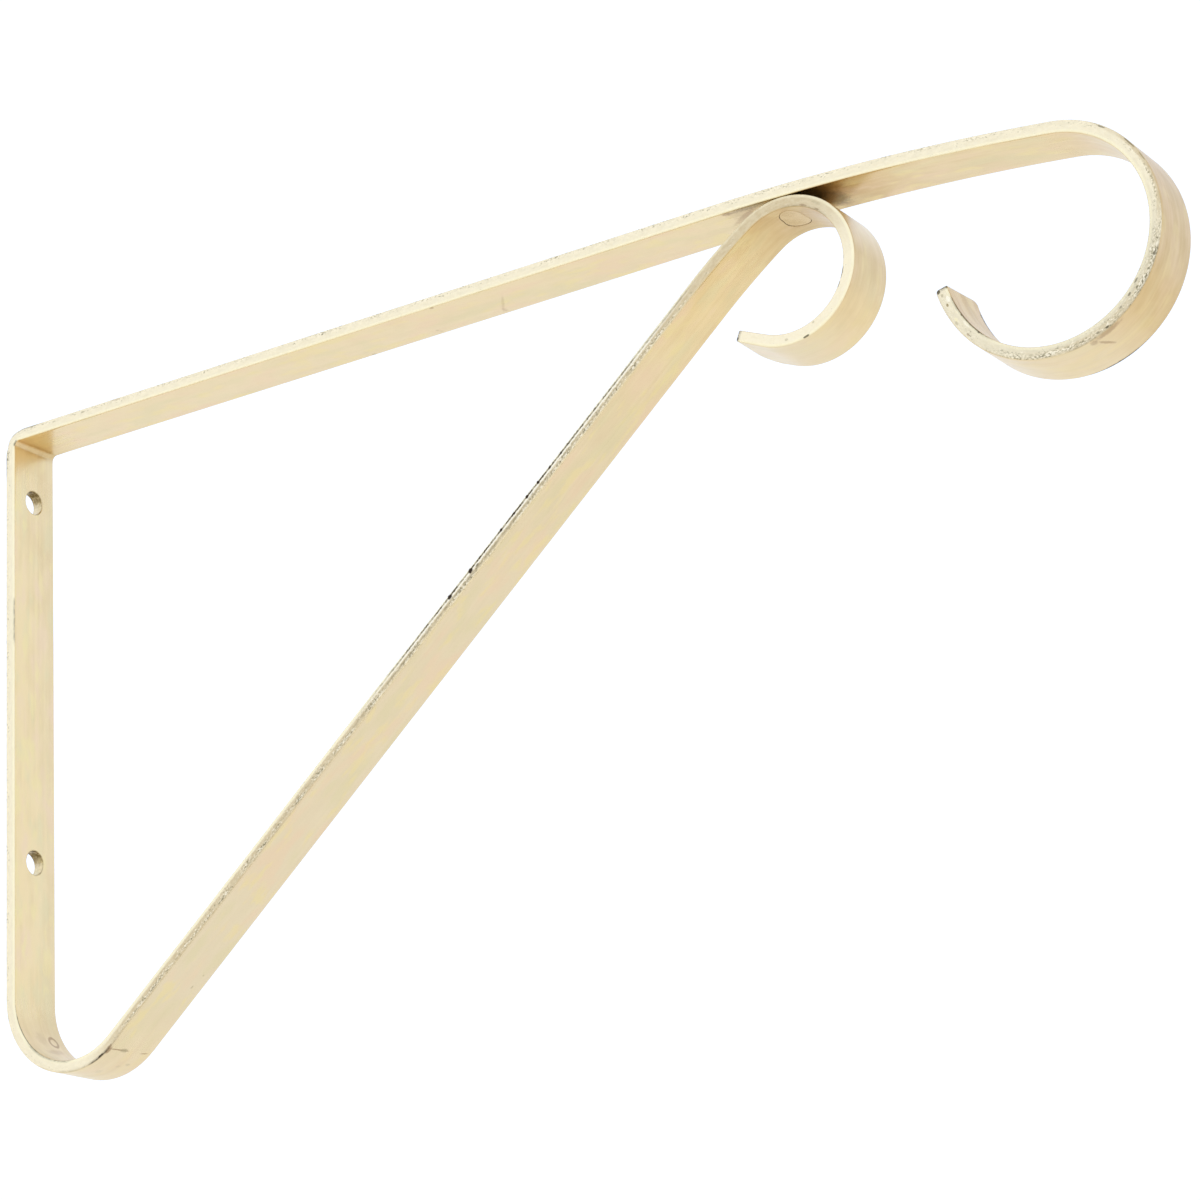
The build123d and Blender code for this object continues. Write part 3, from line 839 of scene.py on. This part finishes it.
def strap_material():
    m = Nodes("plated_strap")
    co = m.attr("strapco", "Vector")
    sep = m.n("ShaderNodeSeparateXYZ")
    m.link(co, sep.inputs[0])
    cs, cy, cd = sep.outputs
    edge, wall, grain, pale, dark = (m.attr(n) for n in ("edge", "wall", "grain", "pale", "dark"))
    bent, tone_z, cool, warm = m.attr("bent"), m.attr("tone"), m.attr("cool"), m.attr("warm")
    # rolled faces: streaks along the strap over a slow drift of tone
    streak = m.noise(m.scaled(co, (0.010, 1.0, 1.0)), 1.0, 3, 0.6)
    streak_fine = m.noise(m.scaled(co, (0.030, 2.0, 2.0)), 1.0, 1, 0.5)
    mott = m.noise(m.scaled(co, (0.10, 0.24, 0.24)), 1.0, 3, 0.55)
    cloud = m.noise(m.scaled(co, (0.30, 0.42, 0.42)), 1.0, 2, 0.5)
    tone = m.math("ADD", m.math("MULTIPLY", m.math("SUBTRACT", streak, 0.5), 0.42), m.math("MULTIPLY", m.math("SUBTRACT", mott, 0.5), 0.50))
    tone = m.math("ADD", tone, m.math("MULTIPLY", m.math("MULTIPLY", m.math("SUBTRACT", cloud, 0.5), m.math("ADD", bent, 0.4)), 0.22))
    tone = m.math("ADD", tone, tone_z, clamp=True)
    face_col = m.mix(tone, FACE_LO, FACE_HI)
    face_col = m.mix(cool, face_col, FACE_COOL)
    face_col = m.mix(warm, face_col, m.mix(tone, (0.560, 0.350, 0.120), (0.850, 0.655, 0.330)))
    # a drift between greener, pinker and yellower plating
    hue = m.noise(m.scaled(co, (0.075, 0.17, 0.17)), 1.0, 2, 0.5)
    hue2 = m.noise(m.scaled(co, (0.11, 0.25, 0.25)), 1.3, 2, 0.5)
    even = m.math("SUBTRACT", 1.0, m.math("MULTIPLY", bent, 0.55))
    face_col = m.mix(m.math("MULTIPLY", m.math("MULTIPLY", m.ramp(hue, (0.50, 0.70, 0, 1)), 0.50), even), face_col, (0.835, 0.630, 0.430))
    face_col = m.mix(m.math("MULTIPLY", m.math("MULTIPLY", m.ramp(hue, (0.50, 0.30, 0, 1)), 0.42), even), face_col, (0.720, 0.650, 0.380))
    face_col = m.mix(m.math("MULTIPLY", m.math("MULTIPLY", m.ramp(hue2, (0.52, 0.70, 0, 1)), 0.50), even), face_col, (0.840, 0.705, 0.340))
    # sheared edges: paler, with grain that is olive, dark and bright by turns
    flat = m.n("ShaderNodeCombineXYZ")
    m.link(cs, flat.inputs[0])
    m.link(cd, flat.inputs[1])
    m.link(m.math("MULTIPLY", cy, 0.35), flat.inputs[2])
    fl = flat.outputs[0]
    g_fine = m.noise(m.scaled(fl, (1.55, 2.6, 1.0)), 1.0, 3, 0.65)
    g_mid = m.noise(m.scaled(fl, (0.50, 1.2, 1.0)), 1.0, 3, 0.6)
    lit = m.math("ADD", pale, m.math("MULTIPLY", m.math("SUBTRACT", g_mid, 0.5), m.math("ADD", m.math("MULTIPLY", grain, 0.9), 0.30)), clamp=True)
    edge_col = m.mix(lit, EDGE_LO, EDGE_HI)
    jit = m.noise(m.scaled(co, (1.5, 1.5, 1.5)), 1.0, 2, 0.5)
    wob = m.math("ADD", cd, m.math("MULTIPLY", m.math("SUBTRACT", jit, 0.5), 0.45))
    tan_s = m.attr("tan")
    by_a = m.ramp(cd, (-0.85, -1.20, 0, 1))
    tan_col = m.mix(m.ramp(m.noise(m.scaled(fl, (0.6, 1.2, 1.0)), 1.0, 2, 0.5), (0.35, 0.65, 0, 1)), TAN_LO, TAN_HI)
    # painted highlight along the side-A arris where rimlit is set
    tan_col = m.mix(m.math("MULTIPLY", m.attr("rimlit"), by_a), tan_col, TAN_LIT)
    in_tan = m.math("MULTIPLY", tan_s, m.ramp(m.math("SUBTRACT", wob, m.attr("tancut")), (0.40, -0.25, 0, 1)))
    edge_col = m.mix(in_tan, edge_col, tan_col)
    thin = m.noise(m.scaled(fl, (0.22, 0.7, 1.0)), 1.0, 2, 0.5)
    want = m.math("ADD", grain, m.math("MULTIPLY", m.math("SUBTRACT", thin, 0.5), 1.5))
    cut = m.math("SUBTRACT", 0.70, m.math("MULTIPLY", want, 0.25))
    olive_m = m.math("MULTIPLY", m.math("SUBTRACT", g_fine, cut), 9.0, clamp=True)
    grit_m = m.math("MULTIPLY", m.math("SUBTRACT", g_fine, m.math("ADD", cut, 0.105)), 11.0, clamp=True)
    bright_m = m.math("MULTIPLY", m.math("SUBTRACT", m.math("SUBTRACT", 1.0, g_fine), m.math("ADD", cut, 0.02)), 8.0, clamp=True)
    # painted highlight: the sheared edge paler and yellower towards its side-B arris
    edge_col = m.mix(m.math("MULTIPLY", m.ramp(cd, (0.55, 1.05, 0, 0.75)), pale), edge_col, (0.935, 0.845, 0.560))
    calm = m.math("SUBTRACT", 1.0, m.math("MULTIPLY", m.math("MULTIPLY", tan_s, by_a), 0.7))
    edge_col = m.mix(m.math("MULTIPLY", m.math("MULTIPLY", bright_m, 0.8), calm), edge_col, BRIGHT)
    edge_col = m.mix(m.math("MULTIPLY", m.math("MULTIPLY", olive_m, 0.62), calm), edge_col, OLIVE)
    edge_col = m.mix(m.math("MULTIPLY", m.math("MULTIPLY", grit_m, 0.85), calm), edge_col, GRIT_AND_SHADE)
    # on the brace a brown band runs along the middle of the edge, then a painted highlight, then a black line that is a
    # painted reflection of something dark
    patchy = m.noise(m.scaled(fl, (0.45, 0.3, 1.0)), 1.0, 3, 0.65)
    brown = m.math("MULTIPLY", m.attr("brownline"), m.ramp(m.math("ABSOLUTE", m.math("ADD", wob, 0.38)), (0.42, 0.08, 0, 1)))
    brown = m.math("MULTIPLY", brown, m.ramp(patchy, (0.32, 0.60, 0.15, 1)))
    edge_col = m.mix(m.math("MULTIPLY", brown, 0.75), edge_col, (0.290, 0.235, 0.130))
    black_s = m.attr("blackline")
    white = m.math("MULTIPLY", black_s, m.ramp(m.math("ABSOLUTE", m.math("SUBTRACT", wob, 0.36)), (0.30, 0.08, 0, 1)))
    edge_col = m.mix(m.math("MULTIPLY", white, 0.6), edge_col, (0.980, 0.930, 0.790))
    # painted highlight along the side-B arris of the brace's edge
    rim = m.math("MULTIPLY", black_s, m.ramp(cd, (1.05, 1.30, 0, 1)))
    edge_col = m.mix(rim, edge_col, (0.985, 0.960, 0.860))
    black = m.math("MULTIPLY", black_s, m.ramp(m.math("ABSOLUTE", m.math("SUBTRACT", wob, 0.84)), (0.32, 0.12, 0, 1)))
    black = m.math("MULTIPLY", black, m.ramp(patchy, (0.30, 0.52, 0.55, 1)))
    beads = m.noise(m.scaled(fl, (0.85, 0.25, 1.0)), 1.0, 2, 0.5)
    black = m.math("MULTIPLY", black, m.ramp(beads, (0.38, 0.56, 0.55, 1)))
    edge_col = m.mix(black, edge_col, SOOT_AND_SHADE)
    on_near = m.math("LESS_THAN", cy, 0.0)
    for s0, d0, rs, rd, k, c in EDGE_MARKS:
        u = m.math("DIVIDE", m.math("SUBTRACT", cs, s0), rs)
        v = m.math("DIVIDE", m.math("SUBTRACT", cd, d0), rd)
        q = m.math("SQRT", m.math("ADD", m.math("MULTIPLY", u, u), m.math("MULTIPLY", v, v)))
        q = m.math("ADD", q, m.math("MULTIPLY", m.math("SUBTRACT", jit, 0.5), 1.0))
        edge_col = m.mix(m.math("MULTIPLY", m.ramp(q, (1.25, 0.70, 0, k)), on_near), edge_col, c)
    on_b = m.math("GREATER_THAN", cd, 0.0)
    on_a = m.math("SUBTRACT", 1.0, on_b)
    for s0, y0, side_, rs, ry, turn, k, c in MARKS:
        ca, sa = math.cos(math.radians(turn)), math.sin(math.radians(turn))
        ds, dy = m.math("SUBTRACT", cs, s0), m.math("SUBTRACT", cy, y0)
        u = m.math("DIVIDE", m.math("ADD", m.math("MULTIPLY", ds, ca), m.math("MULTIPLY", dy, sa)), rs)
        v = m.math("DIVIDE", m.math("SUBTRACT", m.math("MULTIPLY", dy, ca), m.math("MULTIPLY", ds, sa)), ry)
        q = m.math("SQRT", m.math("ADD", m.math("MULTIPLY", u, u), m.math("MULTIPLY", v, v)))
        q = m.math("ADD", q, m.math("MULTIPLY", m.math("SUBTRACT", jit, 0.5), 0.9))
        face_col = m.mix(m.math("MULTIPLY", m.ramp(q, (1.30, 0.45, 0, k)), on_b if side_ > 0 else on_a), face_col, c)
    # the print of a punch inside the U-bend
    u = m.math("DIVIDE", m.math("SUBTRACT", cs, 604.9), 1.75)
    v = m.math("DIVIDE", m.math("SUBTRACT", cy, 3.3), 1.40)
    q = m.math("ABSOLUTE", m.math("SUBTRACT", m.math("SQRT", m.math("ADD", m.math("MULTIPLY", u, u), m.math("MULTIPLY", v, v))), 1.0))
    face_col = m.mix(m.math("MULTIPLY", m.ramp(m.math("ADD", q, m.math("MULTIPLY", m.math("SUBTRACT", jit, 0.5), 0.25)), (0.40, 0.12, 0, 0.62)), on_b), face_col, RUST_AND_SHADE)
    e = m.ramp(edge, (0.20, 0.80, 0, 1))
    col = m.mix(e, face_col, edge_col)
    broken = m.ramp(m.noise(m.scaled(fl, (0.7, 1.5, 1.5)), 1.0, 3, 0.7), (0.34, 0.58, 0.40, 1))
    torn = m.noise(m.scaled(co, (1.6, 1.6, 1.6)), 1.0, 3, 0.6)
    col = m.mix(m.math("MULTIPLY", wall, m.ramp(torn, (0.3, 0.7, 0.15, 0.6))), col, (0.55, 0.45, 0.25))
    bore = m.math("MULTIPLY", m.attr("bore"), m.ramp(torn, (0.35, 0.60, 0.55, 1.0)), clamp=True)
    col = m.mix(bore, col, (0.150, 0.100, 0.030))
    soot = m.math("MULTIPLY", m.math("MULTIPLY", dark, broken), 1.25, clamp=True)
    col = m.mix(soot, col, SOOT_AND_SHADE)
    m.link(col, m.b.inputs["Base Color"])
    m.b.inputs["Metallic"].default_value = 1.0
    rough_face = m.mixf(m.ramp(streak_fine, (0.3, 0.7, 0, 1)), 0.17, 0.25)
    rough_face = m.math("ADD", rough_face, m.math("MULTIPLY", bent, 0.13))
    rough_edge = m.mixf(m.ramp(g_fine, (0.3, 0.7, 0, 1)), 0.60, 0.42)
    m.link(m.mixf(e, rough_face, rough_edge), m.b.inputs["Roughness"])
    h_face = m.math("ADD", m.math("MULTIPLY", streak_fine, 0.06), m.math("MULTIPLY", m.math("MULTIPLY", cloud, bent), 1.2))
    h_edge = m.math("SUBTRACT", m.math("MULTIPLY", m.math("MULTIPLY", g_fine, m.math("ADD", grain, 0.20)), 1.6), m.math("MULTIPLY", grit_m, 0.8))
    m.link(m.bump(m.mixf(e, h_face, h_edge), 0.45, 0.00005), m.b.inputs["Normal"])
    return m.mat


def rivet_material():
    m = Nodes("plated_rivet")
    co = m.n("ShaderNodeTexCoord").outputs["Object"]
    rim = m.attr("rim")
    mott = m.noise(m.scaled(co, (300, 300, 300)), 1.0, 3, 0.55)
    streak = m.noise(m.scaled(co, (300, 2600, 300)), 1.0, 3, 0.6)
    col = m.mix(m.ramp(mott, (0.35, 0.65, 0, 1)), (0.600, 0.445, 0.225), (0.680, 0.520, 0.285))
    col = m.mix(m.math("MULTIPLY", rim, 0.8), col, (0.36, 0.21, 0.09))
    m.link(col, m.b.inputs["Base Color"])
    m.b.inputs["Metallic"].default_value = 1.0
    m.link(m.mixf(m.ramp(streak, (0.3, 0.7, 0, 1)), 0.22, 0.33), m.b.inputs["Roughness"])
    m.link(m.bump(m.math("ADD", m.math("MULTIPLY", streak, 0.3), m.math("MULTIPLY", mott, 0.4)), 0.4, 0.00005), m.b.inputs["Normal"])
    return m.mat


strap.data.materials.append(strap_material())
rivet.data.materials.append(rivet_material())
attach(strap, "root")
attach(rivet, "root")
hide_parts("strap")
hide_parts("rivet")

# --------------------------------------------------------------------------
# Stage, light and camera
# --------------------------------------------------------------------------
FLOOR_Z = -0.75
bpy.ops.mesh.primitive_circle_add(vertices=128, radius=9.0, fill_type="NGON", location=(0.17, 0, FLOOR_Z))
floor = bpy.context.object
floor.name = "studio_floor"
fm = Nodes("pale_floor")
fco = fm.n("ShaderNodeTexCoord").outputs["Object"]
fn = fm.noise(fco, 1.3, 3)
fm.link(fm.mix(fn, (0.925, 0.865, 0.750), (0.950, 0.888, 0.769)), fm.b.inputs["Base Color"])
fm.b.inputs["Roughness"].default_value = 0.9
floor.data.materials.append(fm.mat)

world = bpy.data.worlds.new("studio")
bpy.context.scene.world = world
world.use_nodes = True
wt = world.node_tree
# A white surround, cooler from below and a little brighter from the front and the left; never under 1,
# so that it stays plain white
SKY, BELOW = (1.00, 1.07, 1.235), (1.07, 1.177, 1.50)
wn = wt.nodes
tc = wn.new("ShaderNodeTexCoord")


def towards(axis, v0, v1, out0, out1):
    dot = wn.new("ShaderNodeVectorMath")
    dot.operation = "DOT_PRODUCT"
    wt.links.new(tc.outputs["Generated"], dot.inputs[0])
    dot.inputs[1].default_value = axis
    mr = wn.new("ShaderNodeMapRange")
    mr.interpolation_type = "SMOOTHSTEP"
    wt.links.new(dot.outputs["Value"], mr.inputs["Value"])
    mr.inputs["From Min"].default_value, mr.inputs["From Max"].default_value = v0, v1
    mr.inputs["To Min"].default_value, mr.inputs["To Max"].default_value = out0, out1
    return mr.outputs["Result"]


tint = wn.new("ShaderNodeMix")
tint.data_type = "RGBA"
tint.inputs[6].default_value = (*BELOW, 1)
tint.inputs[7].default_value = (*SKY, 1)
wt.links.new(towards((0, 0, 1), -0.40, 0.05, 0.0, 1.0), tint.inputs["Factor"])
wt.links.new(tint.outputs[2], wn["Background"].inputs["Color"])
wt.links.new(towards((-0.55, -0.75, 0.25), -0.9, 0.9, 1.0, 1.10), wn["Background"].inputs["Strength"])

bpy.context.scene.view_settings.view_transform = "Standard"
bpy.context.scene.view_settings.look = "None"

RIGHT = Vector((0.833038913320764, 0.550610540645624, -0.05361157919045262))
DOWN = Vector((-0.2178274115525323, 0.2373833518911863, -0.9466785954172772))
FWD = Vector((-0.5085247168719376, 0.8002981799147357, 0.3176876383422511))
cam_data = bpy.data.cameras.new("camera")
cam = bpy.data.objects.new("camera", cam_data)
bpy.context.scene.collection.objects.link(cam)
cam.matrix_world = Matrix((
    (RIGHT.x, -DOWN.x, -FWD.x, 0.6163380862600202),
    (RIGHT.y, -DOWN.y, -FWD.y, -0.6789138225763581),
    (RIGHT.z, -DOWN.z, -FWD.z, -0.28868935827969284),
    (0, 0, 0, 1)))
cam_data.sensor_width = 36.0
cam_data.lens = 3514.6904667011604 / 1200 * 36.0
cam_data.shift_x, cam_data.shift_y = -0.5 / 1200, 0.5 / 1200
cam_data.clip_start, cam_data.clip_end = 0.01, 100
bpy.context.scene.camera = cam

bpy.context.view_layer.update()
